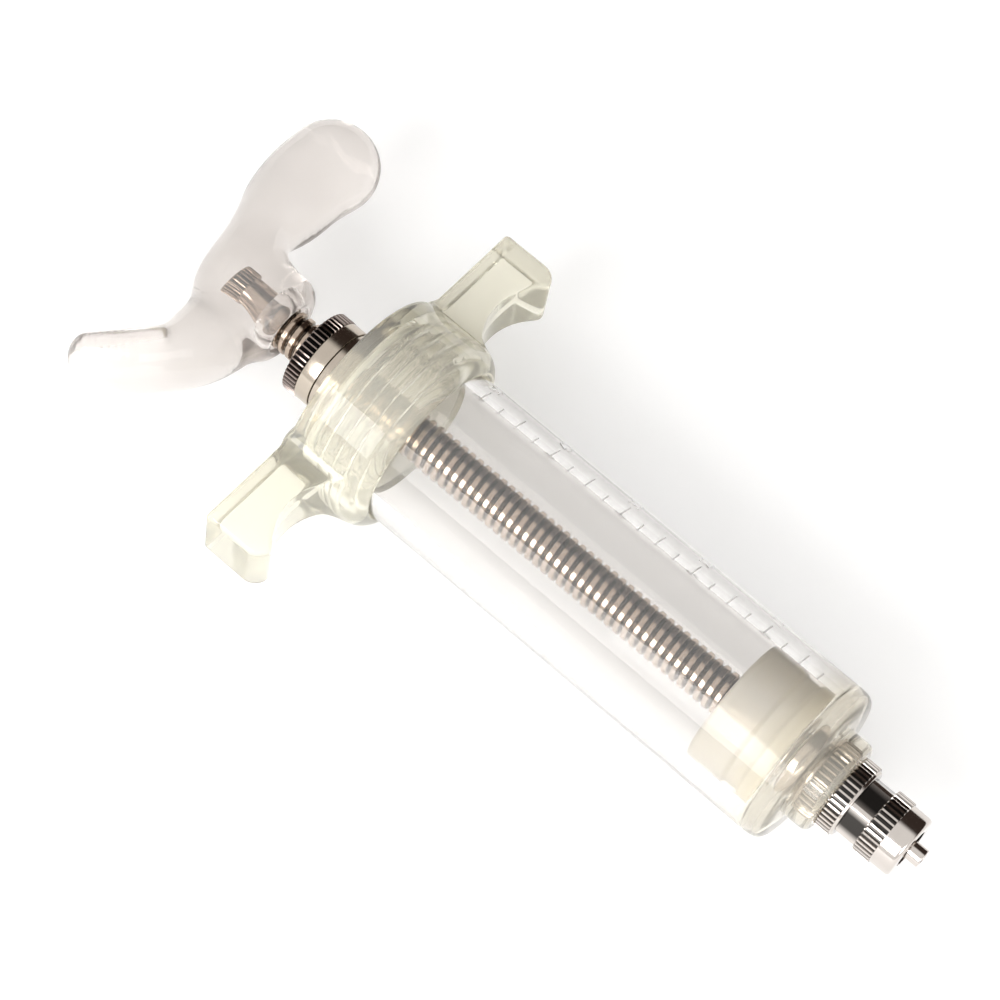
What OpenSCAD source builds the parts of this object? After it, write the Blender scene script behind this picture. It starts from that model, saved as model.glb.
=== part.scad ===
// Refillable meat injector: a clear 50 ml barrel with a screw-on finger cap at the rear,
// a screw-in Luer-lock fitting at the front, and a threaded plunger rod that carries the
// piston, the dose nut and a moulded palm handle.
//
// The origin is the centre of the Luer tip's end face. +X runs along the axis out of the
// tip, so the injector lies along -X; the finger wings point along +Y and -Y.
// Stations named *_x are places on the X axis.

/* [Barrel] */
// Outer diameter of the barrel
barrel_d = 35; // [33:0.5:37]
// Bore of the barrel
bore_d = 26.8; // [25:0.1:27]
// Length of the piston's travel in the bore
stroke = 91; // [60:1:100]
// Outer diameter of the nose
nose_d = 20.6; // [19:0.1:22]
// Length of the nose in front of the shoulder
nose_len = 5.4; // [4:0.1:8]
// Thickness of the front wall behind the shoulder
front_wall = 5.3; // [4:0.1:8]
// Radius that rounds the shoulder
shoulder_round = 3; // [1:0.5:4]
// Depth of the barrel's rear thread
barrel_thread_depth = 1; // [0.5:0.1:1.2]
// Length of the barrel's rear thread
barrel_thread_len = 12; // [9:0.5:14]
// Lead of the thread between the barrel and the cap
cap_lead = 3; // [2:0.5:4]

/* [Scale] */
// Volume between two graduation marks, in ml
scale_step_ml = 2.5; // [1:0.5:5]
// Volume that the whole scale shows, in ml
scale_full_ml = 50; // [20:5:50]
// Height of the raised marks
mark_height = 0.3; // [0.2:0.1:0.5]

/* [Luer fitting] */
// Diameter of the Luer tip in front of the lock collar
tip_d = 4; // [3.9:0.05:4.3]
// Length of the Luer tip in front of the lock collar
tip_reach = 3; // [2:0.1:4]
// Diameter of the fluid passage
passage_d = 2.2; // [1.5:0.1:2.6]
// Outer diameter of the smooth part of the lock collar
collar_d = 13.5; // [12:0.1:13.8]
// Length of the smooth part of the lock collar
collar_len = 4.5; // [3:0.1:6]
// Diameter of the lock collar's knurled band
front_knurl_d = 14.3; // [14:0.1:15]
// Length of each knurled band on the fitting
front_knurl_len = 4; // [3:0.1:5]
// Diameter of the fitting's hex neck across its corners
neck_d = 13.4; // [12:0.1:13.5]
// Length of the hex neck
neck_len = 4.5; // [3:0.1:6]
// Diameter of the fitting's rear knurled band
rear_knurl_d = 16.2; // [15:0.1:18]
// Diameter of the threaded stem
stem_d = 8; // [7:0.1:9]
// Lead of the thread between the fitting and its insert
fitting_lead = 1.5; // [1:0.25:2]

/* [Cap] */
// Outer diameter of the cap's hub
hub_d = 43.5; // [42:0.5:46]
// Length of the hub
hub_len = 19.5; // [18:0.5:24]
// Distance between the tips of the two finger wings
wing_span = 87.5; // [80:0.5:96]
// Thickness of a wing at its tip, along the axis
wing_tip_t = 14; // [12:0.5:16]
// Thickness of a wing at the bottom of its finger recess
wing_waist_t = 9.5; // [8:0.5:11]
// Width of a wing across the axis
wing_w = 14.4; // [12:0.1:18]

/* [Plunger] */
// Outer diameter of the threaded rod
rod_d = 9.2; // [8:0.1:10]
// Pitch of the rod's thread
rod_pitch = 2; // [1:0.25:2.5]
// Diameter of the dose nut
nut_d = 18.6; // [17:0.1:20]
// Length of the dose nut, and of the stop collar in front of it
nut_len = 3.3; // [3:0.1:5]
// Length of the piston
piston_len = 15.5; // [12:0.5:20]
// Gap between the dose nut and the handle when the nut touches its stop
nut_travel = 6; // [3:0.5:8]

/* [Handle] */
// Width of the handle, square to its span and to the axis
handle_w = 18; // [15:0.5:20]
// Reach of the thick palm arm from the axis
palm_reach = 44; // [38:0.5:48]
// Thickness of the palm arm's end lobe, along the axis
lobe_t = 20; // [16:0.5:22]
// Reach of the thin, swept arm from the axis
horn_reach = 36.5; // [32:0.5:44]
// Distance that the thin arm sweeps back from its root
horn_sweep = 14.5; // [8:0.5:16]
// Thickness of the thin arm at its end, along the axis
horn_t = 9; // [7:0.5:12]
// Diameter of the boss that holds the rod
boss_d = 19.8; // [17:0.1:22]

/* [Hidden] */

$fn = 96;
fine = 32;               // facets of the rounded shapes that are hulls

running_gap = 0.05;      // radial clearance of a running fit
free_gap = 0.3;          // clearance between parts that pass without touching
edge = 0.5;              // chamfer on turned edges
thread_form = 0.62;      // depth of a thread as a share of its pitch

// Stations from the tip back to the handle
collar_front_x = -tip_reach;
front_knurl_x = collar_front_x - collar_len;
neck_front_x = front_knurl_x - front_knurl_len;
rear_knurl_front_x = neck_front_x - neck_len;
fitting_back_x = rear_knurl_front_x - front_knurl_len;
nose_front_x = fitting_back_x;
shoulder_x = nose_front_x - nose_len;
chamber_front_x = shoulder_x - front_wall;
piston_front_x = chamber_front_x - 0.4;
piston_back_x = piston_front_x - piston_len;
cap_rear_wall = 2.6;
gasket_t = 1;
bush_flange_len = 4.8;
bush_inner_len = 2;
barrel_back_x = piston_back_x - stroke - bush_inner_len;
gasket_back_x = barrel_back_x - gasket_t;
cap_back_x = gasket_back_x - cap_rear_wall;
cap_front_x = cap_back_x + hub_len;
bush_back_x = cap_back_x - bush_flange_len;
stop_front_x = bush_back_x - free_gap;
nut_front_x = stop_front_x - nut_len;
nut_back_x = nut_front_x - nut_len;
boss_front_x = nut_back_x - nut_travel - free_gap;
socket_end_x = boss_front_x - 5;
palm_root_x = boss_front_x - 16;
horn_root_x = boss_front_x - 10.6;
anchor_x = socket_end_x - 6.3;

barrel_r = barrel_d / 2;
bore_r = bore_d / 2;
nose_r = nose_d / 2;
rod_r = rod_d / 2;
rod_root_r = rod_r - rod_pitch * thread_form / 2;
rod_neck_r = 2.9;
anchor_r = 3.4;
anchor_len = 3.4;
hub_r = hub_d / 2;

// Fitting and its insert
insert_r = 6.2;
insert_front_x = nose_front_x - 1.6;
insert_back_x = chamber_front_x + 0.6;
stem_r = stem_d / 2;
stem_groove = 0.45;
stem_back_x = insert_back_x + 0.8;
seal_r = 6.6;

// Piston and rod end
stud_r = 2.5;
hub_piece_r = 5;
piston_hub_len = 8.2;
piston_nut_len = 2.8;
piston_nut_r = 4.6;
land_groove = 0.8;
piston_hub_front_x = piston_back_x + piston_hub_len;
piston_nut_back_x = piston_front_x - piston_nut_len - 0.4;

// Guide bush and cap
bush_inner_r = 11;
bush_flange_r = 8.9;
cap_bore_r = barrel_r + free_gap;
cap_lip_round = 4.4;

// A cylinder that lies along X between two stations
module bar(x0, x1, r) {
    translate([x0, 0, 0])
        rotate([0, 90, 0])
            cylinder(r = r, h = x1 - x0);
}

// A solid of revolution about X. Each point is [station, radius].
module turned(points) {
    rotate([0, 90, 0])
        rotate_extrude()
            polygon([for (p = points) [p[1], p[0]]]);
}

// Points of a quarter round from angle a0 to a1 about a centre [station, radius]
function corner(x, r, round, a0, a1, steps = 8) =
    [for (i = [0 : steps])
        let (a = a0 + (a1 - a0) * i / steps)
            [x + round * cos(a), r + round * sin(a)]];

// A knurled ring: a band with straight teeth that run along the axis
module knurled_ring(x0, x1, r, teeth, depth) {
    tooth_w = 2 * PI * r / teeth / 2;
    difference() {
        turned([
            [x0, 0], [x0, r - edge], [x0 + edge, r],
            [x1 - edge, r], [x1, r - edge], [x1, 0],
        ]);
        for (i = [0 : teeth - 1])
            rotate([i * 360 / teeth, 0, 0])
                translate([x0 - 1, -tooth_w / 2, r - depth])
                    cube([x1 - x0 + 2, tooth_w, depth + 1]);
    }
}

// Grooves cut at every pitch along a threaded bar, as a stand-in for the helix
module thread_grooves(x0, x1, r, depth, pitch) {
    half = pitch * 0.36;
    for (i = [0 : floor((x1 - x0 - 2 * half) / pitch)]) {
        x = x0 + half + i * pitch;
        turned([
            [x - half, r + 1], [x - half, r], [x, r - depth],
            [x + half, r], [x + half, r + 1],
        ]);
    }
}

module barrel() {
    seat_x = barrel_back_x;
    thread_front_x = seat_x + barrel_thread_len;
    color([0.92, 0.92, 0.90, 0.4])
        difference() {
            turned(concat(
                [[seat_x, 0], [seat_x, barrel_r - barrel_thread_depth],
                 [seat_x + 1, barrel_r]],
                corner(shoulder_x - shoulder_round, barrel_r - shoulder_round,
                       shoulder_round, 90, 0),
                [[shoulder_x, nose_r]],
                corner(nose_front_x - 1.5, nose_r - 1.5, 1.5, 90, 0),
                [[nose_front_x, 0]]
            ));
            bar(seat_x - 1, chamber_front_x, bore_r);
            bar(chamber_front_x - 1, insert_back_x + 1, stem_r + free_gap);
            bar(insert_back_x, insert_front_x, insert_r);
            bar(insert_front_x - 1, nose_front_x + 1, seal_r + 0.1);
            thread_grooves(seat_x + 1.5, thread_front_x, barrel_r,
                           barrel_thread_depth, cap_lead);
        }
}

module scale_marks() {
    ml_len = 1000 / (PI * bore_r * bore_r);
    mark_w = 0.5;
    start_angle = 24;
    sink = 0.1;
    color("white")
        for (i = [1 : scale_full_ml / scale_step_ml]) {
            sweep = i % 2 == 0 ? 24 : 16;
            rotate([-start_angle - sweep, 0, 0])
                rotate([0, 90, 0])
                    rotate([0, 0, 180])
                        rotate_extrude(angle = sweep)
                            translate([barrel_r - sink,
                                       piston_front_x - i * scale_step_ml * ml_len])
                                square([mark_height + sink, mark_w]);
        }
}

module nose_insert() {
    groove_w = 1;
    groove_d = 0.7;
    color("gainsboro")
        difference() {
            union() {
                bar(insert_back_x, insert_front_x - 3.4, insert_r - groove_d);
                for (i = [0 : 2])
                    bar(insert_back_x + i * 2 * groove_w,
                        insert_back_x + (2 * i + 1) * groove_w, insert_r);
                knurled_ring(insert_front_x - 3.4, insert_front_x, insert_r, 32, 0.4);
            }
            bar(insert_back_x - 1, insert_front_x + 1, stem_r + running_gap);
        }
}

module fitting_seal() {
    color("dimgray")
        difference() {
            bar(insert_front_x, nose_front_x, seal_r);
            bar(insert_front_x - 1, nose_front_x + 1, stem_r + running_gap);
        }
}

module luer_fitting() {
    cone_back_x = collar_front_x;
    taper = 0.03;
    cone_root_x = neck_front_x;
    cone_root_r = tip_d / 2 + taper * (cone_back_x - cone_root_x);
    lip = 0.6;
    color("silver")
        difference() {
            union() {
                turned([
                    [stem_back_x, 0], [stem_back_x, stem_r], [cone_root_x, stem_r],
                    [cone_root_x, cone_root_r], [cone_back_x, tip_d / 2],
                    [0, tip_d / 2], [0, 0],
                ]);
                intersection() {
                    rotate([0, 90, 0])
                        translate([0, 0, rear_knurl_front_x])
                            rotate(30)
                                cylinder(d = neck_d / cos(30), h = neck_len, $fn = 6);
                    bar(rear_knurl_front_x, neck_front_x, neck_d / 2);
                }
                bar(rear_knurl_front_x - lip, rear_knurl_front_x, rear_knurl_d / 2 - 0.3);
                knurled_ring(fitting_back_x, rear_knurl_front_x - lip,
                             rear_knurl_d / 2, 44, 0.4);
            }
            bar(stem_back_x - 1, 1, passage_d / 2);
            thread_grooves(stem_back_x + 0.4, insert_front_x - 0.4, stem_r,
                           stem_groove, fitting_lead);
        }
}

module lock_collar() {
    socket_r = 4.1;
    thread_r = 3.7;
    thread_w = 0.9;
    base = 1.2;
    cone_r = tip_d / 2 + 0.03 * (neck_len + collar_len);
    color("silver")
        difference() {
            union() {
                turned([
                    [front_knurl_x, 0], [front_knurl_x, collar_d / 2],
                    [collar_front_x - 0.7, collar_d / 2],
                    [collar_front_x, collar_d / 2 - 0.7], [collar_front_x, 0],
                ]);
                knurled_ring(neck_front_x, front_knurl_x, front_knurl_d / 2, 38, 0.4);
            }
            bar(neck_front_x - 1, collar_front_x, cone_r);
            difference() {
                bar(neck_front_x + base, collar_front_x + 1, socket_r);
                for (i = [0 : 1])
                    bar(collar_front_x - 1.4 - i * 2.6,
                        collar_front_x - 1.4 - i * 2.6 + thread_w, socket_r + 1);
            }
            bar(neck_front_x + base, collar_front_x + 1, thread_r);
        }
}

module cap_gasket() {
    color("whitesmoke")
        difference() {
            bar(gasket_back_x, barrel_back_x, barrel_r - barrel_thread_depth);
            bar(gasket_back_x - 1, barrel_back_x + 1, bore_r);
        }
}

// Half of the wings' outline, from the rear face forward
module wing_outline() {
    half = wing_span / 2;
    waist_y = half * 0.69;
    recess_r = 13;
    difference() {
        union() {
            translate([0, -half + 1.5])
                square([wing_tip_t, wing_span - 3]);
            translate([1.5, -half])
                square([wing_tip_t - 3, wing_span]);
            for (x = [1.5, wing_tip_t - 1.5], s = [-1, 1])
                translate([x, s * (half - 1.5)])
                    circle(1.5);
        }
        for (s = [-1, 1])
            translate([wing_waist_t + recess_r, s * waist_y])
                circle(recess_r);
    }
}

module finger_cap() {
    bore_front_x = cap_front_x;
    color([0.95, 0.93, 0.80, 0.5])
        difference() {
            union() {
                turned(concat(
                    [[cap_back_x, 0], [cap_back_x, hub_r - 1], [cap_back_x + 1, hub_r]],
                    corner(cap_front_x - cap_lip_round, hub_r - cap_lip_round,
                           cap_lip_round, 90, 0),
                    [[cap_front_x, 0]]
                ));
                translate([cap_back_x, 0, -wing_w / 2])
                    linear_extrude(wing_w)
                        wing_outline();
            }
            bar(gasket_back_x, bore_front_x + 1, cap_bore_r);
            bar(cap_back_x - 1, gasket_back_x + 1, bush_inner_r);
        }
}

module guide_bush() {
    color("silver")
        difference() {
            union() {
                bar(cap_back_x, barrel_back_x + bush_inner_len - free_gap, bush_inner_r);
                turned([
                    [bush_back_x, 0], [bush_back_x, bush_flange_r - edge],
                    [bush_back_x + edge, bush_flange_r], [cap_back_x, bush_flange_r],
                    [cap_back_x, 0],
                ]);
            }
            bar(bush_back_x - 1, barrel_back_x + bush_inner_len, rod_r + running_gap);
        }
}

module piston_seal() {
    seal_r_out = bore_r - running_gap;
    groove_back_x = piston_hub_front_x;
    groove_front_x = groove_back_x + 4.3;
    color([0.93, 0.90, 0.78])
        difference() {
            turned([
                [piston_back_x, 0], [piston_back_x, seal_r_out - 1.2],
                [piston_back_x + 1.2, seal_r_out], [groove_back_x, seal_r_out],
                [groove_back_x + land_groove, seal_r_out - land_groove],
                [groove_front_x - land_groove, seal_r_out - land_groove],
                [groove_front_x, seal_r_out], [piston_front_x - 1.2, seal_r_out],
                [piston_front_x, seal_r_out - 1.2], [piston_front_x, 0],
            ]);
            bar(piston_back_x - 1, piston_front_x + 1, hub_piece_r);
        }
}

module piston_hub() {
    color("silver")
        difference() {
            bar(piston_back_x, piston_hub_front_x, hub_piece_r);
            bar(piston_back_x - 1, piston_hub_front_x + 1, stud_r + running_gap);
        }
}

module piston_spacer() {
    color("ivory")
        difference() {
            bar(piston_hub_front_x, piston_nut_back_x - 0.1, hub_piece_r);
            bar(piston_hub_front_x - 1, piston_nut_back_x + 1, stud_r + running_gap);
        }
}

module piston_nut() {
    color("silver")
        difference() {
            intersection() {
                translate([piston_nut_back_x, 0, 0])
                    rotate([0, 90, 0])
                        cylinder(r = piston_nut_r, h = piston_nut_len, $fn = 6);
                bar(piston_nut_back_x, piston_front_x, piston_nut_r);
            }
            bar(piston_nut_back_x - 1, piston_nut_back_x + piston_nut_len - 0.6, stud_r);
        }
}

module plunger_rod() {
    thread_back_x = socket_end_x;
    rod_front_x = piston_back_x - 0.1;
    color("silver") {
        difference() {
            bar(thread_back_x, rod_front_x, rod_r);
            thread_grooves(thread_back_x + 0.5, rod_front_x - 1, rod_r,
                           rod_r - rod_root_r, rod_pitch);
        }
        bar(rod_front_x, piston_nut_back_x + piston_nut_len - 0.6, stud_r);
        bar(anchor_x, thread_back_x, rod_neck_r);
        knurled_ring(anchor_x - anchor_len, anchor_x, anchor_r, 24, 0.3);
    }
}

// One arm of the handle. Each place is [forward of the root, out from the axis, radius].
module handle_arm(places) {
    for (i = [0 : len(places) - 2])
        hull()
            for (p = [places[i], places[i + 1]])
                translate([p[0], p[1], 0])
                    scale([1, 1, handle_w / 2 / p[2]])
                        sphere(p[2], $fn = fine);
}

// The thick arm, which fills the palm
module palm_arm() {
    end_r = lobe_t / 2;
    end_y = palm_reach - end_r;
    translate([palm_root_x, 0, 0])
        handle_arm([
            [0, 0, 0.58 * end_r], [-2.6, 0.34 * end_y, 0.64 * end_r],
            [-4.4, 0.7 * end_y, 0.92 * end_r], [-3.9, end_y, end_r],
        ]);
}

// The thin arm, which sweeps back towards its end
module horn_arm() {
    end_r = horn_t / 2;
    end_y = horn_reach - end_r;
    translate([horn_root_x, 0, 0])
        mirror([0, 1, 0])
            handle_arm([
                [0, 0, 2.2 * end_r], [-0.02 * horn_sweep, 0.36 * end_y, 1.8 * end_r],
                [-0.3 * horn_sweep, 0.7 * end_y, 1.35 * end_r], [-horn_sweep, end_y, end_r],
            ]);
}

module handle() {
    boss_round = 4;
    color([0.95, 0.94, 0.94, 0.4])
        difference() {
            union() {
                palm_arm();
                horn_arm();
                turned(concat(
                    [[palm_root_x, 0], [palm_root_x, boss_d / 2]],
                    corner(boss_front_x - boss_round, boss_d / 2 - boss_round,
                           boss_round, 90, 0),
                    [[boss_front_x, 0]]
                ));
            }
            bar(socket_end_x, boss_front_x + 1, rod_r + 1);
            bar(anchor_x, socket_end_x + 1, rod_neck_r);
            bar(anchor_x - anchor_len, anchor_x + 0.01, anchor_r);
        }
}

module stop_collar() {
    color("silver")
        difference() {
            turned([
                [nut_front_x, 0], [nut_front_x, nut_d / 2 - 0.1],
                [stop_front_x - edge, nut_d / 2 - 0.1],
                [stop_front_x, nut_d / 2 - 0.1 - edge], [stop_front_x, 0],
            ]);
            bar(nut_front_x - 1, stop_front_x + 1, rod_r + running_gap);
        }
}

module dose_nut() {
    color("gray")
        difference() {
            knurled_ring(nut_back_x, nut_front_x, nut_d / 2, 52, 0.4);
            bar(nut_back_x - 1, nut_front_x + 1, rod_r + running_gap);
        }
}

barrel();
scale_marks();
nose_insert();
cap_gasket();
finger_cap();
guide_bush();
piston_seal();
piston_hub();
piston_spacer();
plunger_rod();
piston_nut();
handle();
stop_collar();
dose_nut();
fitting_seal();
luer_fitting();
lock_collar();
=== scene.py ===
"""The looks of the meat injector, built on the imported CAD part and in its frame.

Lengths in the helpers are millimetres; they become metres when a mesh is made. The
injector lies along X with its Luer tip at the origin. Angles round the axis start at +Y
and turn towards +Z.
"""

import math

import bpy
import numpy as np
from mathutils import Matrix, Vector


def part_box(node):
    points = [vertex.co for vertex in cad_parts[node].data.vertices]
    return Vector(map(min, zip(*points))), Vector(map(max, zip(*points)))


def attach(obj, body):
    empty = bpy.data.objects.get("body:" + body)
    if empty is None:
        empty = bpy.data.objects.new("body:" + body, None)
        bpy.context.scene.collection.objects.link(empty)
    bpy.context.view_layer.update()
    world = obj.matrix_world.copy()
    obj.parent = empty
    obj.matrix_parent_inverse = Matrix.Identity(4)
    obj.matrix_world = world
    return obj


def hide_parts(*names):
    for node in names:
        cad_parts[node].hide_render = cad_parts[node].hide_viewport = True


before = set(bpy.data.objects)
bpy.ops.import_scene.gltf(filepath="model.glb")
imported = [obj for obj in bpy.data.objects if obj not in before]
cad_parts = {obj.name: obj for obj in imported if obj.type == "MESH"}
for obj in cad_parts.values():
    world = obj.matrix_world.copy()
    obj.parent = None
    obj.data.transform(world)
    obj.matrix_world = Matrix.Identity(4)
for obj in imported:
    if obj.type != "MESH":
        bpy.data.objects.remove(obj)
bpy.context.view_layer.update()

MM = 0.001
TURN = 2 * math.pi


# ---------------------------------------------------------------- sizes from the frame


def span(node):
    """(first station, last station, largest radius) of a CAD node in mm."""
    low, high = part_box(node)
    return low.x / MM, high.x / MM, high.z / MM


BARREL_BACK, NOSE_FRONT, BARREL_R = span("barrel")
INSERT_BACK, INSERT_FRONT, INSERT_R = span("nose_insert")
GASKET_BACK, GASKET_FRONT, GASKET_R = span("cap_gasket")
CAP_BACK, CAP_FRONT, HUB_R = span("finger_cap")
BUSH_BACK, BUSH_FRONT, BUSH_R = span("guide_bush")
PISTON_BACK, PISTON_FRONT, PISTON_R = span("piston_seal")
CORE_BACK, CORE_FRONT, CORE_R = span("piston_hub")
SPACER_BACK, SPACER_FRONT, SPACER_R = span("piston_spacer")
ROD_BACK, ROD_FRONT, ROD_R = span("plunger_rod")
PNUT_BACK, PNUT_FRONT, PNUT_R = span("piston_nut")
STOP_BACK, STOP_FRONT, STOP_R = span("stop_collar")
NUT_BACK, NUT_FRONT, NUT_R = span("dose_nut")
SEAL_BACK, SEAL_FRONT, SEAL_R = span("fitting_seal")
STEM_BACK, TIP_FRONT, REAR_KNURL_R = span("luer_fitting")
LOCK_BACK, LOCK_FRONT, LOCK_R = span("lock_collar")
HANDLE_BOX = [Vector(corner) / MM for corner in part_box("handle")]
WING_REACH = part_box("finger_cap")[1].y / MM

BORE_R = 13.4
CHAMBER_FRONT = PISTON_FRONT + 0.4
SHOULDER = NOSE_FRONT - 5.4
NOSE_R = 10.3
STEM_R = 4.0
CAP_LEAD = 3.0
CAP_TOOTH = 0.55
ROD_PITCH = 2.0
BOSS_FRONT = HANDLE_BOX[1].x
SOCKET_END = BOSS_FRONT - 5
# a groove this deep has a recess attribute of 1 and gets the full painted groove shade
GROOVE_DEPTH = 0.5
# plastic reaches this far into the metal moulded in it, so that no two surfaces coincide
EMBED = 0.15
BUSH_HOLE_R = BUSH_R - EMBED
BUSH_FLANGE_R = 8.9
RUNNING_GAP = 0.05
STUD_R = 2.5


# ---------------------------------------------------------------- meshes


def add_mesh(name, points, faces, sharp=32, recess=None):
    """A mesh object from points in mm, shaded smooth except across sharp edges.
    recess says how deep each point lies in a groove, from 0 to 1."""
    mesh = bpy.data.meshes.new(name)
    mesh.from_pydata([tuple(p) for p in np.asarray(points) * MM], [], faces)
    if recess is not None:
        mesh.attributes.new("recess", "FLOAT", "POINT").data.foreach_set("value", recess)
    mesh.polygons.foreach_set("use_smooth", [True] * len(mesh.polygons))
    mesh.set_sharp_from_angle(angle=math.radians(sharp))
    thing = bpy.data.objects.new(name, mesh)
    bpy.context.scene.collection.objects.link(thing)
    return thing


def eased(points, steps=5):
    """An outline whose corners are rounded. Each point is (x, r) or (x, r, radius)."""
    out = []
    count = len(points)
    for i, point in enumerate(points):
        here = np.array(point[:2], float)
        radius = point[2] if len(point) > 2 else 0
        if not radius or i in (0, count - 1):
            out.append(here)
            continue
        back = np.array(points[i - 1][:2], float) - here
        on = np.array(points[i + 1][:2], float) - here
        back_len, on_len = np.linalg.norm(back), np.linalg.norm(on)
        angle = math.acos(np.clip(back @ on / (back_len * on_len), -1, 1))
        reach = min(radius / math.tan(angle / 2), 0.48 * back_len, 0.48 * on_len)
        start, end = here + back / back_len * reach, here + on / on_len * reach
        for t in np.linspace(0, 1, steps):
            out.append((1 - t) ** 2 * start + 2 * t * (1 - t) * here + t**2 * end)
    return out


def stations(x0, x1, r, step):
    """Points along a straight run, both ends included."""
    count = max(2, int(abs(x1 - x0) / step) + 1)
    return [(x, r) for x in np.linspace(x0, x1, count)]


def lathe(name, profile, count=128, reliefs=(), loop=False, sharp=32):
    """A solid turned about the axis. reliefs change the radius by station and angle."""
    profile = np.array([p[:2] for p in profile], float)
    angle = np.arange(count) * TURN / count
    points, rings, recess = [], [], []
    for x, r in profile:
        if r < 1e-6:
            rings.append([len(points)] * count)
            points.append((x, 0, 0))
            recess.append(0)
            continue
        radius = np.full(count, r)
        for relief in reliefs:
            radius = relief(x, radius, angle)
        recess += list(np.clip((r - radius) / GROOVE_DEPTH, 0, 1))
        rings.append(range(len(points), len(points) + count))
        points += [(x, rr * math.cos(a), rr * math.sin(a)) for rr, a in zip(radius, angle)]
    pairs = list(zip(rings, rings[1:]))
    if loop:
        pairs.append((rings[-1], rings[0]))
    faces = []
    for one, two in pairs:
        for i in range(count):
            j = (i + 1) % count
            face = list(dict.fromkeys([one[i], one[j], two[j], two[i]]))
            if len(face) > 2:
                faces.append(face)
    return add_mesh(name, points, faces, sharp, recess)


def smooth(t):
    t = np.clip(t, 0, 1)
    return t * t * (3 - 2 * t)


def thread(x0, x1, radius, depth, pitch, crest=0.22):
    """Relief of a right-hand thread cut between two stations, fading out at both ends."""

    def relief(x, r, angle):
        if not x0 < x < x1:
            return r
        fade = min(1, (x - x0) / pitch * 2, (x1 - x) / pitch * 2)
        ramp = np.abs(((x / pitch - angle / TURN) % 1) * 2 - 1)
        cut = np.clip((ramp - crest) / (1 - crest) * 1.2, 0, 1)
        return np.minimum(r, radius - depth * cut * fade)

    return relief


def knurl(x0, x1, radius, teeth, depth):
    """Relief of straight teeth that run along the axis between two stations."""

    def relief(x, r, angle):
        if not x0 - 0.01 <= x <= x1 + 0.01:
            return r
        groove = smooth(0.5 - 0.95 * np.cos(teeth * angle))
        return r - np.maximum(0, r - (radius - depth)) * groove

    return relief


def field_mesh(name, field, low, high, step, sharp=40):
    """The surface where field(x, y, z) is zero: one point in each cell that it crosses."""
    axes = [np.arange(low[i] - step, high[i] + 2 * step, step) for i in range(3)]
    x, y, z = np.meshgrid(*axes, indexing="ij")
    inside = field(x, y, z) < 0
    cells = tuple(n - 1 for n in inside.shape)
    count = np.zeros(cells, int)
    for i in (0, 1):
        for j in (0, 1):
            for k in (0, 1):
                count += inside[i:i + cells[0], j:j + cells[1], k:k + cells[2]]
    active = (count > 0) & (count < 8)
    number = np.full(cells, -1)
    number[active] = np.arange(active.sum())
    start = np.argwhere(active) * step + [a[0] + step / 2 for a in axes]
    points = start.copy()
    tiny = step * 0.05
    for _ in range(6):
        value = field(*points.T)
        slope = np.stack([
            (field(*(points + tiny * unit).T) - field(*(points - tiny * unit).T)) / (2 * tiny)
            for unit in np.eye(3)
        ], -1)
        size = np.maximum((slope**2).sum(1), 1e-4)
        points -= slope * (value / size)[:, None]
        points = start + np.clip(points - start, -0.75 * step, 0.75 * step)
    faces = []
    for axis in range(3):
        one, two = [i for i in range(3) if i != axis]
        ahead = np.moveaxis(inside, axis, 0)
        changed = ahead[1:] != ahead[:-1]
        changed = np.moveaxis(changed, 0, axis)
        places = np.argwhere(changed)
        keep = (places[:, one] > 0) & (places[:, two] > 0)
        places = places[keep & (places[:, one] < cells[one]) & (places[:, two] < cells[two])]
        ring = []
        for a, b in ((-1, -1), (0, -1), (0, 0), (-1, 0)):
            cell = places.copy()
            cell[:, one] += a
            cell[:, two] += b
            ring.append(number[tuple(cell.T)])
        quads = np.stack(ring, 1)
        outward = inside[tuple(places.T)]
        if axis == 1:
            outward = ~outward
        quads[~outward] = quads[~outward][:, ::-1]
        faces += quads.tolist()
    return add_mesh(name, points, faces, sharp)


def blend_min(a, b, k):
    """Union of two fields with a fillet of size k."""
    h = np.clip(0.5 + 0.5 * (b - a) / k, 0, 1)
    return b + (a - b) * h - k * h * (1 - h)


def blend_max(a, b, k):
    """Intersection of two fields with a rounded edge of size k."""
    return -blend_min(-a, -b, k)


def spline(knots, per_span=10):
    """A Catmull-Rom curve through the rows of knots."""
    knots = np.array(knots, float)
    ends = np.vstack([2 * knots[0] - knots[1], knots, 2 * knots[-1] - knots[-2]])
    rows = []
    for i in range(len(knots) - 1):
        a, b, c, d = ends[i:i + 4]
        for t in np.arange(per_span) / per_span:
            rows.append(0.5 * (2 * b + (c - a) * t + (2 * a - 5 * b + 4 * c - d) * t**2
                               + (3 * b - a - 3 * c + d) * t**3))
    rows.append(knots[-1])
    return np.array(rows)


# ---------------------------------------------------------------- materials


def put(tree, kind, **values):
    node = tree.nodes.new(kind)
    for key, value in values.items():
        if hasattr(node, key):
            setattr(node, key, value)
        else:
            node.inputs[key.replace("_", " ")].default_value = value
    return node


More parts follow.
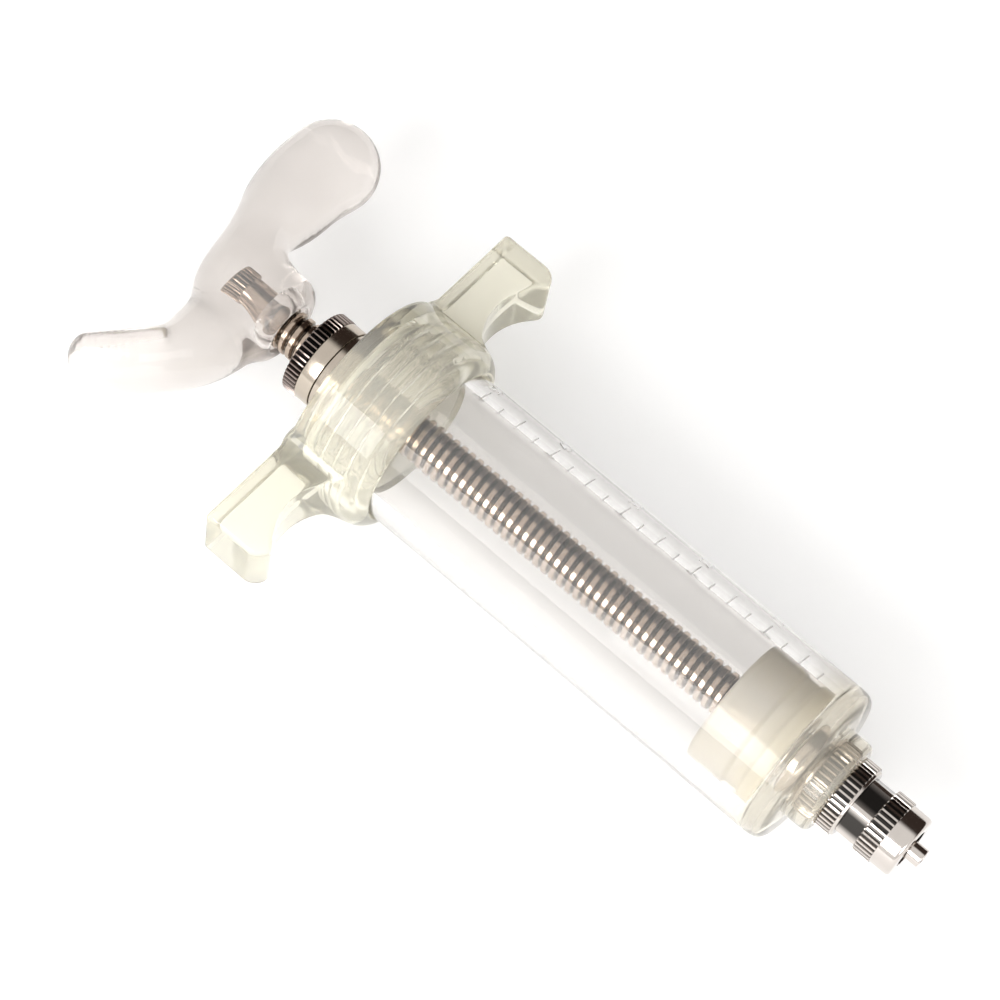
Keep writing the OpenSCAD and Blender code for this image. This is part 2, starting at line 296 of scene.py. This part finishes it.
def material(name, colour, roughness, metallic=0.0, clear=0.0, ior=1.49, tint=None,
             tint_density=0.0, groove_shade=1.0, stretch=(1, 1, 1), grain=900.0, depth=0.00002,
             vary=0.06, front=None):
    """A Principled finish with fine surface grain and slow changes of tone and gloss.
    The groove argument is the share of the colour left where the recess attribute is 1, as painted
    shade, and front gives ((from x, to x), colour, transmission) for a milkier front end."""
    made = bpy.data.materials.new(name)
    made.use_nodes = True
    tree = made.node_tree
    shader = tree.nodes["Principled BSDF"]
    link = tree.links.new
    place = put(tree, "ShaderNodeTexCoord")
    mapping = put(tree, "ShaderNodeMapping")
    mapping.inputs["Scale"].default_value = stretch
    link(place.outputs["Object"], mapping.inputs["Vector"])
    fine = put(tree, "ShaderNodeTexNoise", Scale=grain, Detail=4.0)
    slow = put(tree, "ShaderNodeTexNoise", Scale=grain / 12, Detail=3.0)
    for noise in (fine, slow):
        link(mapping.outputs["Vector"], noise.inputs["Vector"])
    tone = put(tree, "ShaderNodeMapRange")
    tone.inputs["To Min"].default_value = 1 - vary
    tone.inputs["To Max"].default_value = 1.0
    link(slow.outputs["Fac"], tone.inputs["Value"])
    shade = put(tree, "ShaderNodeMixRGB", blend_type="MULTIPLY")
    shade.inputs["Fac"].default_value = 1.0
    shade.inputs["Color1"].default_value = (*colour, 1)
    link(tone.outputs["Result"], shade.inputs["Color2"])
    if front:
        (from_x, to_x), front_colour, front_clear = front
        parts = put(tree, "ShaderNodeSeparateXYZ")
        link(place.outputs["Object"], parts.inputs["Vector"])
        along = put(tree, "ShaderNodeMapRange", interpolation_type="SMOOTHSTEP")
        along.inputs["From Min"].default_value = from_x
        along.inputs["From Max"].default_value = to_x
        link(parts.outputs["X"], along.inputs["Value"])
        ends = put(tree, "ShaderNodeMixRGB")
        ends.inputs["Color1"].default_value = (*colour, 1)
        ends.inputs["Color2"].default_value = (*front_colour, 1)
        link(along.outputs["Result"], ends.inputs["Fac"])
        link(ends.outputs["Color"], shade.inputs["Color1"])
        haze = put(tree, "ShaderNodeMapRange")
        haze.inputs["To Min"].default_value = clear
        haze.inputs["To Max"].default_value = front_clear
        link(along.outputs["Result"], haze.inputs["Value"])
        link(haze.outputs["Result"], shader.inputs["Transmission Weight"])
    # painted shade: the base colour is darkened in proportion to the recess attribute, so each
    # groove looks shaded
    groove = put(tree, "ShaderNodeAttribute", attribute_name="recess")
    painted_groove_shade = put(tree, "ShaderNodeMapRange")
    painted_groove_shade.inputs["To Min"].default_value = 1.0
    painted_groove_shade.inputs["To Max"].default_value = groove_shade
    link(groove.outputs["Fac"], painted_groove_shade.inputs["Value"])
    groove_shaded_colour = put(tree, "ShaderNodeMixRGB", blend_type="MULTIPLY")
    groove_shaded_colour.inputs["Fac"].default_value = 1.0
    link(shade.outputs["Color"], groove_shaded_colour.inputs["Color1"])
    link(painted_groove_shade.outputs["Result"], groove_shaded_colour.inputs["Color2"])
    link(groove_shaded_colour.outputs["Color"], shader.inputs["Base Color"])
    gloss = put(tree, "ShaderNodeMapRange")
    gloss.inputs["From Min"].default_value = 0.3
    gloss.inputs["From Max"].default_value = 0.7
    gloss.inputs["To Min"].default_value = roughness * 0.75
    gloss.inputs["To Max"].default_value = roughness * 1.3
    link(fine.outputs["Fac"], gloss.inputs["Value"])
    link(gloss.outputs["Result"], shader.inputs["Roughness"])
    if depth:
        bump = put(tree, "ShaderNodeBump", Strength=0.5, Distance=depth)
        link(fine.outputs["Fac"], bump.inputs["Height"])
        link(bump.outputs["Normal"], shader.inputs["Normal"])
    shader.inputs["Metallic"].default_value = metallic
    shader.inputs["Transmission Weight"].default_value = clear
    shader.inputs["IOR"].default_value = ior
    if tint:
        volume = put(tree, "ShaderNodeVolumeAbsorption")
        volume.inputs["Color"].default_value = (*tint, 1)
        volume.inputs["Density"].default_value = tint_density
        link(volume.outputs["Volume"], tree.nodes["Material Output"].inputs["Volume"])
    return made


clear_barrel = material("clear_barrel", (0.99, 0.98, 0.97), 0.02, clear=0.95, ior=1.34,
                        tint=(0.84, 0.82, 0.79), tint_density=22, grain=300, depth=0, vary=0.02,
                        front=((-0.040, -0.029), (0.98, 0.94, 0.84), 0.80))
raised_white = material("raised_marks", (0.985, 0.98, 0.97), 0.15, clear=0.80, ior=1.34,
                        grain=1500, depth=0, vary=0.03)
clear_cap = material("clear_cap", (0.99, 0.97, 0.88), 0.04, clear=0.78, ior=1.33,
                     tint=(0.74, 0.70, 0.42), tint_density=14, grain=300, depth=0, vary=0.03)
clear_handle = material("clear_handle", (0.965, 0.94, 0.92), 0.04, clear=0.86, ior=1.36,
                        tint=(0.80, 0.765, 0.74), tint_density=45, grain=200, depth=0, vary=0.03)
silicone = material("piston_silicone", (0.98, 0.94, 0.84), 0.40, clear=0.36, ior=1.30,
                    tint=(0.95, 0.90, 0.74), tint_density=45, grain=300, depth=0, vary=0.05)
white_seal = material("white_seal", (0.93, 0.93, 0.90), 0.45, grain=1500, vary=0.06)
black_seal = material("black_seal", (0.05, 0.045, 0.04), 0.50, grain=1800, vary=0.3)
spacer_plastic = material("spacer_plastic", (0.93, 0.90, 0.82), 0.45, clear=0.3, grain=1200)
# the groove values below set how dark the painted groove shade is on each metal
bright_metal = material("fitting_metal", (0.68, 0.63, 0.59), 0.12, metallic=1.0, grain=2500,
                        depth=0.000003, vary=0.15, groove_shade=0.08)
turned_metal = material("collar_metal", (0.54, 0.475, 0.40), 0.16, metallic=1.0, grain=1500,
                        stretch=(4, 0.4, 0.4), depth=0.000003, vary=0.10, groove_shade=0.3)
rod_metal = material("rod_metal", (0.56, 0.455, 0.37), 0.14, metallic=1.0, grain=1500,
                     stretch=(3, 1, 1), depth=0.000005, vary=0.3, groove_shade=0.3)
nut_metal = material("nut_metal", (0.32, 0.265, 0.24), 0.16, metallic=1.0, grain=1800,
                     depth=0.000005, vary=0.2, groove_shade=0.03)
insert_metal = material("insert_metal", (0.56, 0.50, 0.44), 0.2, metallic=1.0, grain=2000,
                        depth=0.000005, vary=0.15, groove_shade=0.25)


def finish_piece(thing, body, finish, slot, *nodes):
    """The piece gets its material, rides on its body and stands for its CAD nodes."""
    thing.data.materials.clear()
    thing.data.materials.append(finish)
    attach(thing, body)
    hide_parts(*nodes)
    return thing


# ---------------------------------------------------------------- barrel


def build_barrel():
    thread_end = BARREL_BACK + 12
    outline = (
        [(BARREL_BACK, BORE_R + 0.5), (BARREL_BACK, BARREL_R - 1.4),
         (BARREL_BACK + 0.8, BARREL_R - 0.2)]
        + stations(BARREL_BACK + 0.9, thread_end, BARREL_R, 0.22)
        + eased([
            (thread_end + 0.5, BARREL_R), (SHOULDER, BARREL_R, 4.2), (SHOULDER, NOSE_R, 0.8),
            (NOSE_FRONT, NOSE_R, 1.8), (NOSE_FRONT, SEAL_R + 0.1, 0.25),
            (INSERT_FRONT - EMBED, SEAL_R + 0.1), (INSERT_FRONT - EMBED, INSERT_R - 1),
            (INSERT_BACK + EMBED, INSERT_R - 1), (INSERT_BACK + EMBED, STEM_R + 0.3),
            (CHAMBER_FRONT, STEM_R + 0.3, 0.3),
            (CHAMBER_FRONT, BORE_R, 1.2), (BARREL_BACK + 0.6, BORE_R), (BARREL_BACK, BORE_R + 0.5),
        ], 7)
    )[:-1]
    cut = thread(BARREL_BACK + 0.6, thread_end, BARREL_R, 0.8, CAP_LEAD, crest=0.35)

    def outer_only(x, r, angle):
        return cut(x, r, angle) if r[0] > BORE_R + 2 else r

    shell = lathe("barrel_shell", outline, 192, [outer_only], loop=True, sharp=40)
    return finish_piece(shell, "barrel", clear_barrel, "clear_barrel", "barrel")


def curved_patch(x0, x1, a0, a1, r0, r1, columns=6):
    """Points and faces of a small block that follows the barrel from angle a0 to a1."""
    points, faces = [], []
    for a in np.linspace(a0, a1, columns + 1):
        for x, r in ((x0, r0), (x0 + 0.06, r1), (x1 - 0.06, r1), (x1, r0)):
            points.append((x, r * math.cos(a), r * math.sin(a)))
    for i in range(columns):
        for j in range(4):
            k = (j + 1) % 4
            faces.append([4 * i + j, 4 * i + k, 4 * i + 4 + k, 4 * i + 4 + j])
    faces += [[3, 2, 1, 0], [4 * columns + j for j in range(4)]]
    return points, faces


def build_scale():
    step_ml, full_ml = 2.5, 50
    ml = 1000 / (math.pi * BORE_R**2)
    first_angle = math.radians(66)
    points, faces = [], []
    for i in range(1, int(full_ml / step_ml) + 1):
        x = PISTON_FRONT - i * step_ml * ml
        sweep = math.radians(15 if i % 2 == 0 else 9)
        block, sides = curved_patch(x - 0.18, x + 0.18, first_angle, first_angle - sweep,
                                    BARREL_R - 0.08, BARREL_R + 0.08)
        faces += [[k + len(points) for k in side] for side in sides]
        points += block
    for i in range(1, 6):
        curve = bpy.data.curves.new("digits", "FONT")
        curve.body = str(10 * i)
        curve.size = 3.6
        curve.extrude = 0.12
        curve.align_x = "CENTER"
        curve.align_y = "CENTER"
        curve.resolution_u = 6
        holder = bpy.data.objects.new("digits", curve)
        bpy.context.scene.collection.objects.link(holder)
        flat = bpy.data.meshes.new_from_object(holder)
        centre = first_angle - math.radians(15 + 10)
        x = PISTON_FRONT - 10 * i * ml
        count = len(points)
        for v in flat.vertices:
            angle = centre - v.co.x / BARREL_R
            r = BARREL_R + 0.1 + v.co.z
            points.append((x - v.co.y, r * math.cos(angle), r * math.sin(angle)))
        faces += [[k + count for k in reversed(p.vertices)] for p in flat.polygons]
        bpy.data.objects.remove(holder)
        bpy.data.meshes.remove(flat)
        bpy.data.curves.remove(curve)
    marks = add_mesh("scale_figures", points, faces, 30)
    return finish_piece(marks, "barrel", raised_white, "raised_marks", "scale_marks")


def build_insert():
    knurl_back = INSERT_FRONT - 3.4
    outline = [(INSERT_BACK, STEM_R + 0.05)]
    for i in range(3):
        x = INSERT_BACK + 2 * i
        outline += [(x, INSERT_R - 0.7), (x, INSERT_R - 0.2), (x + 0.2, INSERT_R),
                    (x + 0.8, INSERT_R), (x + 1, INSERT_R - 0.2), (x + 1, INSERT_R - 0.7)]
    outline += [(knurl_back, INSERT_R - 0.7), (knurl_back, INSERT_R - 0.25),
                (knurl_back + 0.25, INSERT_R), (INSERT_FRONT - 0.25, INSERT_R),
                (INSERT_FRONT, INSERT_R - 0.25), (INSERT_FRONT, STEM_R + 0.05)]
    ring = lathe("threaded_insert", outline, 256,
                 [knurl(knurl_back, INSERT_FRONT, INSERT_R, 32, 0.45)], loop=True)
    return finish_piece(ring, "barrel", insert_metal, "insert_metal", "nose_insert")


# ---------------------------------------------------------------- finger cap


def cap_field(x, y, z):
    """Hub and finger wings, with the bore for the barrel and its thread."""
    radius = np.hypot(y, z)
    angle = np.arctan2(z, y)
    lip_r, corner_r, wing_half_width = 4.6, 3.6, 7.2
    wing_thick, recess_r, recess_web, recess_place = 14.0, 13.0, 9.5, 0.69
    hub = blend_max(radius - HUB_R, np.abs(x - (CAP_BACK + CAP_FRONT) / 2)
                    - (CAP_FRONT - CAP_BACK) / 2, 1.2)
    past_front, past_rim = x - (CAP_FRONT - lip_r), radius - (HUB_R - lip_r)
    lip = np.hypot(np.maximum(past_front, 0), np.maximum(past_rim, 0)) - lip_r
    hub = np.maximum(hub, np.where((past_front > 0) & (past_rim > 0), lip, -9))
    slab = blend_max(np.abs(x - CAP_BACK - wing_thick / 2) - wing_thick / 2,
                     np.abs(y) - WING_REACH, 0.9)
    past_x = np.maximum(x - (CAP_BACK + wing_thick - corner_r), 0)
    past_y = np.maximum(np.abs(y) - (WING_REACH - corner_r), 0)
    slab = np.maximum(slab, np.hypot(past_x, past_y) - corner_r)
    slab = blend_max(slab, np.abs(z) - wing_half_width, 1.3)
    recess = recess_r - np.hypot(x - (CAP_BACK + recess_web + recess_r),
                                 np.abs(y) - recess_place * WING_REACH)
    wings = blend_max(slab, recess, 0.8)
    solid = blend_min(hub, wings, 2.6)
    ramp = np.abs((((x - CAP_LEAD / 2) / CAP_LEAD - angle / TURN) % 1) * 2 - 1)
    in_thread = smooth((BARREL_BACK + 12.5 - x) / 1.5) * smooth((x - BARREL_BACK) / 0.8)
    tooth = CAP_TOOTH * smooth((0.42 - ramp) / 0.35) * in_thread
    bore = radius - (BARREL_R + 0.3 - tooth)
    solid = blend_max(solid, -np.maximum(bore, GASKET_BACK - x), 0.5)
    hole = radius - BUSH_HOLE_R
    return blend_max(solid, -hole, 0.3)


def build_cap():
    reach = WING_REACH + 0.5
    body = field_mesh("finger_cap_shell", cap_field, (CAP_BACK - 0.3, -reach, -HUB_R - 0.3),
                      (CAP_FRONT + 0.3, reach, HUB_R + 0.3), 0.42)
    return finish_piece(body, "cap", clear_cap, "clear_cap", "finger_cap")


def build_gasket():
    ring = lathe("gasket_ring", eased([
        (GASKET_BACK, (GASKET_R + BORE_R) / 2), (GASKET_BACK, GASKET_R, 0.3),
        (GASKET_FRONT, GASKET_R, 0.3), (GASKET_FRONT, BORE_R, 0.3),
        (GASKET_BACK, BORE_R, 0.3), (GASKET_BACK, (GASKET_R + BORE_R) / 2),
    ])[:-1], 128, loop=True)
    return finish_piece(ring, "cap_seal", white_seal, "white_seal", "cap_gasket")


def build_bush():
    hole = ROD_R + RUNNING_GAP
    # a little thicker than the CAD's flange, which narrows the gap at the stop collar
    back = BUSH_BACK - 0.18
    ring = lathe("bush", eased([
        (back, 6.5), (back, BUSH_FLANGE_R, 0.08), (CAP_BACK - 0.05, BUSH_FLANGE_R),
        (CAP_BACK - 0.05, BUSH_R), (BUSH_FRONT, BUSH_R, 0.4),
        (BUSH_FRONT, hole, 0.4), (back, hole, 0.4), (back, 6.5),
    ])[:-1], 160, loop=True)
    return finish_piece(ring, "cap", turned_metal, "bush_metal", "guide_bush")


# ---------------------------------------------------------------- plunger


def build_piston():
    groove = CORE_FRONT
    outline = eased([
        (PISTON_BACK, 8), (PISTON_BACK, PISTON_R, 1.3), (groove, PISTON_R, 0.6),
        (groove + 0.8, PISTON_R - 0.8, 0.5), (groove + 3.5, PISTON_R - 0.8, 0.5),
        (groove + 4.3, PISTON_R, 0.6), (PISTON_FRONT, PISTON_R, 1.3),
        (PISTON_FRONT, CORE_R - EMBED, 0.4), (PISTON_BACK, CORE_R - EMBED, 0.4),
        (PISTON_BACK, 8),
    ], 7)[:-1]
    seal = lathe("piston_body", outline, 192, loop=True)
    finish_piece(seal, "piston", silicone, "piston_silicone", "piston_seal")
    hole = STUD_R + RUNNING_GAP
    core = lathe("piston_core", eased([
        (CORE_BACK - 0.05, 4), (CORE_BACK - 0.05, CORE_R, 0.4), (CORE_FRONT, CORE_R, 0.2),
        (CORE_FRONT, hole, 0.2), (CORE_BACK - 0.05, hole, 0.2), (CORE_BACK - 0.05, 4),
    ])[:-1], 96, loop=True)
    finish_piece(core, "piston", insert_metal, "hub_metal", "piston_hub")
    spacer = lathe("piston_sleeve", eased([
        (SPACER_BACK, 4), (SPACER_BACK, SPACER_R, 0.2), (SPACER_FRONT, SPACER_R, 0.4),
        (SPACER_FRONT, hole, 0.2), (SPACER_BACK, hole, 0.2), (SPACER_BACK, 4),
    ])[:-1], 96, loop=True)
    finish_piece(spacer, "piston", spacer_plastic, "spacer_plastic", "piston_spacer")
    outline = eased([
        (PNUT_BACK, STUD_R - 0.05), (PNUT_BACK, PNUT_R, 0.3), (PNUT_FRONT, PNUT_R, 0.3),
        (PNUT_FRONT, 0),
    ])

    def hexagon(x, r, angle):
        flat = PNUT_R * 0.9 / np.cos((angle + TURN / 12) % (TURN / 6) - TURN / 12)
        return np.where(r > 3, np.minimum(r, flat), r)

    nut = lathe("rod_end_nut", outline + [(PNUT_FRONT, 0)], 144, [hexagon])
    finish_piece(nut, "plunger", bright_metal, "rod_metal", "piston_nut")


def build_rod():
    thread_back, thread_front = SOCKET_END, PISTON_BACK - 0.1
    anchor_back, anchor_front = ROD_BACK, ROD_BACK + 3.4
    anchor_r, neck_r = 3.4, 3.0
    outline = (
        [(anchor_back, 0)]
        + eased([(anchor_back, 0.5), (anchor_back, anchor_r, 0.4), (anchor_front, anchor_r, 0.4),
                 (anchor_front, neck_r, 0.1), (thread_back, neck_r, 0.3),
                 (thread_back, ROD_R - 0.8)])
        + stations(thread_back + 0.6, thread_front - 0.5, ROD_R, 0.1)
        + eased([(thread_front, ROD_R - 0.5), (thread_front, STUD_R, 0.2),
                 (ROD_FRONT, STUD_R, 0.4), (ROD_FRONT, 0.5)])
        + [(ROD_FRONT, 0)]
    )
    rod = lathe("threaded_rod", outline, 120, [
        thread(thread_back, thread_front, ROD_R, 0.62, ROD_PITCH, crest=0.48),
        knurl(anchor_back, anchor_front, anchor_r, 24, 0.45),
    ])
    return finish_piece(rod, "plunger", rod_metal, "rod_metal", "plunger_rod")


PALM_ARM = [(-15.5, 0, 5.8), (-18.0, 0.22, 6.1), (-19.8, 0.42, 6.6),
            (-20.2, 0.62, 8.8), (-20.5, 0.82, 9.6), (-19.8, 1, 10.1)]
HORN_ARM = [(-10.9, 0, 10.2), (-9.9, 0.22, 8.9), (-10.2, 0.42, 7.8),
            (-12.2, 0.62, 6.2), (-17.3, 0.82, 5.8), (-23.9, 0.98, 4.1)]
PALM_REACH = 33.7
HORN_REACH = 32.8
HANDLE_HALF_WIDTH = 9.0


def arm_field(knots, reach, side, x, y, z):
    """A swept arm with an oval section. Knots are (forward of the boss, share of reach, radius)."""
    line = spline([(BOSS_FRONT + a, side * b * reach, c) for a, b, c in knots], 6)
    best = np.full(x.shape, 1e9)
    for (x0, y0, r0), (x1, y1, r1) in zip(line, line[1:]):
        dx, dy = x1 - x0, y1 - y0
        t = np.clip(((x - x0) * dx + (y - y0) * dy) / (dx * dx + dy * dy), 0, 1)
        r = r0 + (r1 - r0) * t
        half_width = np.minimum(HANDLE_HALF_WIDTH, 3.6 + 0.9 * r)
        off = np.hypot(x - x0 - t * dx, y - y0 - t * dy) / r
        oval = np.sqrt(off**2 + (z / half_width) ** 2)
        best = np.minimum(best, (oval - 1) * np.minimum(r, half_width))
    return best


def handle_field(x, y, z):
    """The boss for the rod and the two arms, less the socket that clears the thread."""
    radius = np.hypot(y, z)
    boss_r, boss_round, root = 9.9, 4.0, 15.0
    off_x = np.maximum(x - (BOSS_FRONT - boss_round), 0)
    off_r = np.maximum(radius - (boss_r - boss_round), 0)
    boss = np.where(x > BOSS_FRONT - boss_round, np.hypot(off_x, off_r) - boss_round,
                    radius - boss_r)
    boss = np.maximum(boss, BOSS_FRONT - root - x)
    palm = arm_field(PALM_ARM, PALM_REACH, 1, x, y, z)
    horn = arm_field(HORN_ARM, HORN_REACH, -1, x, y, z)
    solid = blend_min(blend_min(palm, horn, 6.0), boss, 1.6)
    socket = np.maximum(radius - (ROD_R + 1), SOCKET_END - x)
    return blend_max(solid, -socket, 0.6)


def build_handle():
    low, high = HANDLE_BOX
    grip = field_mesh("grip", handle_field, low - Vector((1.5, 1.5, 0.6)),
                      high + Vector((0.3, 1.0, 0.6)), 0.45, sharp=60)
    return finish_piece(grip, "plunger", clear_handle, "clear_handle", "handle")


def build_nuts():
    hole = ROD_R + RUNNING_GAP
    collar = lathe("smooth_collar", eased([
        (STOP_BACK, 7), (STOP_BACK, STOP_R, 0.1), (STOP_FRONT, STOP_R, 0.08),
        (STOP_FRONT, hole, 0.4), (STOP_BACK, hole, 0.4), (STOP_BACK, 7),
    ])[:-1], 160, loop=True)
    finish_piece(collar, "stop", turned_metal, "collar_metal", "stop_collar")
    teeth = 52
    ring = lathe("knurled_nut", eased([
        (NUT_BACK, 7), (NUT_BACK, NUT_R, 0.4), (NUT_FRONT, NUT_R, 0.4),
        (NUT_FRONT, hole, 0.4), (NUT_BACK, hole, 0.4), (NUT_BACK, 7),
    ])[:-1], teeth * 8, [knurl(NUT_BACK, NUT_FRONT, NUT_R, teeth, 0.55)], loop=True)
    finish_piece(ring, "nut", nut_metal, "nut_metal", "dose_nut")


# ---------------------------------------------------------------- Luer fitting


def build_fitting():
    washer = lathe("fitting_washer", eased([
        (SEAL_BACK, 5.4), (SEAL_BACK, SEAL_R, 0.2), (SEAL_FRONT, SEAL_R, 0.3),
        (SEAL_FRONT, STEM_R + 0.05, 0.2), (SEAL_BACK, STEM_R + 0.05, 0.2), (SEAL_BACK, 5.4),
    ])[:-1], 128, loop=True)
    finish_piece(washer, "front_seal", black_seal, "black_seal", "fitting_seal")

    passage, tip_r, neck_r = 1.1, 2.0, 6.7
    knurl_front = NOSE_FRONT + 3.4
    neck_back = knurl_front + 0.6
    neck_front = LOCK_BACK
    cone_r = tip_r + 0.03 * (LOCK_FRONT - neck_front)
    teeth = 44

    def hexagon(x, r, angle):
        if not neck_back < x < neck_front:
            return r
        flat = neck_r * 0.9 / np.cos(angle % (TURN / 6) - TURN / 12)
        return np.where(r > 5, np.minimum(r, flat), r)

    outline = (
        [(STEM_BACK, 2.5), (STEM_BACK, STEM_R - 0.5)]
        + stations(STEM_BACK + 0.5, NOSE_FRONT - 1.2, STEM_R, 0.15)
        + eased([
            (NOSE_FRONT, STEM_R), (NOSE_FRONT, REAR_KNURL_R, 0.45),
            (knurl_front, REAR_KNURL_R, 0.4), (knurl_front, REAR_KNURL_R - 0.5, 0.1),
            (neck_back, REAR_KNURL_R - 0.5, 0.3), (neck_back + 0.02, neck_r),
        ])
        + stations(neck_back + 0.1, neck_front - 0.1, neck_r, 0.6)
        + eased([
            (neck_front - 0.02, neck_r), (neck_front, cone_r + 0.3), (neck_front + 0.3, cone_r),
            (TIP_FRONT - 3.0, tip_r), (TIP_FRONT, tip_r, 0.3), (TIP_FRONT, passage, 0.25),
            (STEM_BACK, passage, 0.3), (STEM_BACK, 2.5),
        ])
    )[:-1]
    fitting = lathe("luer_body", outline, teeth * 6, [
        thread(STEM_BACK, NOSE_FRONT - 1.0, STEM_R, 0.45, 1.5),
        knurl(NOSE_FRONT, knurl_front, REAR_KNURL_R, teeth, 0.5),
        hexagon,
    ], loop=True)
    finish_piece(fitting, "fitting", bright_metal, "fitting_metal", "luer_fitting")

    teeth = 38
    band_front = LOCK_BACK + 4.0
    collar_r, socket_r, land = 6.75, 3.9, 1.2
    outline = (
        [(LOCK_BACK, 4.5)]
        + eased([
            (LOCK_BACK, 5), (LOCK_BACK, LOCK_R, 0.45), (band_front, LOCK_R, 0.4),
            (band_front, collar_r, 0.1), (LOCK_FRONT, collar_r, 1.0),
            (LOCK_FRONT, socket_r, 0.4),
        ])
        + stations(LOCK_FRONT - 0.4, LOCK_BACK + land + 0.2, socket_r, 0.2)
        + [(LOCK_BACK + land, 3.4), (LOCK_BACK + land, cone_r + 0.05),
           (LOCK_BACK, cone_r + 0.05), (LOCK_BACK, 4.5)]
    )[:-1]

    def inner_thread(x, r, angle):
        if r[0] > socket_r + 0.01 or r[0] < socket_r - 0.01:
            return r
        ramp = np.abs(((x / 2.5 - angle / TURN * 2) % 1) * 2 - 1)
        return r + 0.25 - 0.5 * smooth(ramp * 1.4 - 0.2)

    collar = lathe("lock_ring", outline, teeth * 6, [
        knurl(LOCK_BACK, band_front, LOCK_R, teeth, 0.5), inner_thread,
    ], loop=True)
    finish_piece(collar, "fitting", bright_metal, "fitting_metal", "lock_collar")


build_barrel()
build_scale()
build_insert()
build_gasket()
build_cap()
build_bush()
build_piston()
build_rod()
build_handle()
build_nuts()
build_fitting()


# ---------------------------------------------------------------- studio


def build_studio():
    floor_z = -HUB_R * MM
    half = 2.5
    mesh = bpy.data.meshes.new("floor")
    mesh.from_pydata([(-half, -half, floor_z), (half, -half, floor_z),
                      (half, half, floor_z), (-half, half, floor_z)], [], [(0, 1, 2, 3)])
    floor = bpy.data.objects.new("floor", mesh)
    bpy.context.scene.collection.objects.link(floor)
    # the floor gives some light of its own, like a light table
    paper = material("floor", (0.85, 0.85, 0.85), 0.9, grain=40, vary=0.004, depth=0)
    table_glow = paper.node_tree.nodes["Principled BSDF"].inputs
    table_glow["Emission Color"].default_value = (1, 1, 1, 1)
    table_glow["Emission Strength"].default_value = 0.3
    floor.data.materials.append(paper)

    world = bpy.data.worlds.new("studio")
    bpy.context.scene.world = world
    world.use_nodes = True
    tree = world.node_tree
    place = put(tree, "ShaderNodeTexCoord")
    parts = put(tree, "ShaderNodeSeparateXYZ")
    tree.links.new(place.outputs["Generated"], parts.inputs["Vector"])
    flag = put(tree, "ShaderNodeMapRange", interpolation_type="SMOOTHSTEP")
    flag.inputs["From Min"].default_value = 0.20
    flag.inputs["From Max"].default_value = 0.50
    tree.links.new(parts.outputs["Y"], flag.inputs["Value"])
    # bright on the camera's side, dark on the far side, which gives the metals their dark halves
    sides = put(tree, "ShaderNodeMixRGB")
    sides.inputs["Color1"].default_value = (1.0, 0.99, 0.975, 1)
    sides.inputs["Color2"].default_value = (0.05, 0.036, 0.03, 1)
    tree.links.new(flag.outputs["Result"], sides.inputs["Fac"])
    tree.links.new(sides.outputs["Color"], tree.nodes["Background"].inputs["Color"])

    for name, place, size, power in (
        ("top_softbox", (-0.15, -0.78, 0.48), 0.55, 6.5),
        ("front_softbox", (0.6, -0.5, 0.5), 0.5, 1.9),
    ):
        light = bpy.data.lights.new(name, "AREA")
        light.size = size
        light.energy = power
        lamp = bpy.data.objects.new(name, light)
        lamp.location = place
        aim = Vector((-0.09, 0, 0)) - Vector(place)
        lamp.rotation_mode = "QUATERNION"
        lamp.rotation_quaternion = aim.to_track_quat("-Z", "Y")
        bpy.context.scene.collection.objects.link(lamp)


def build_camera():
    azimuth, elevation, roll = (math.radians(a) for a in (29.12, 62.585, 13.54))
    back = Vector((math.sin(azimuth) * math.cos(elevation),
                   -math.cos(azimuth) * math.cos(elevation), math.sin(elevation)))
    side = Vector((0, 0, 1)).cross(back).normalized()
    up = back.cross(side)
    right = side * math.cos(roll) + up * math.sin(roll)
    above = up * math.cos(roll) - side * math.sin(roll)
    data = bpy.data.cameras.new("camera")
    data.lens = 125.56
    data.sensor_width = 36
    data.clip_start = 0.01
    camera = bpy.data.objects.new("camera", data)
    camera.rotation_mode = "QUATERNION"
    camera.rotation_quaternion = Matrix((right, above, back)).transposed().to_quaternion()
    camera.location = Vector((-0.106675, 0.00099, 0)) + back * 0.676887
    bpy.context.scene.collection.objects.link(camera)
    bpy.context.scene.camera = camera


build_studio()
build_camera()

scene = bpy.context.scene
scene.view_settings.view_transform = "Standard"
scene.cycles.max_bounces = 28
scene.cycles.transmission_bounces = 28
scene.cycles.glossy_bounces = 8
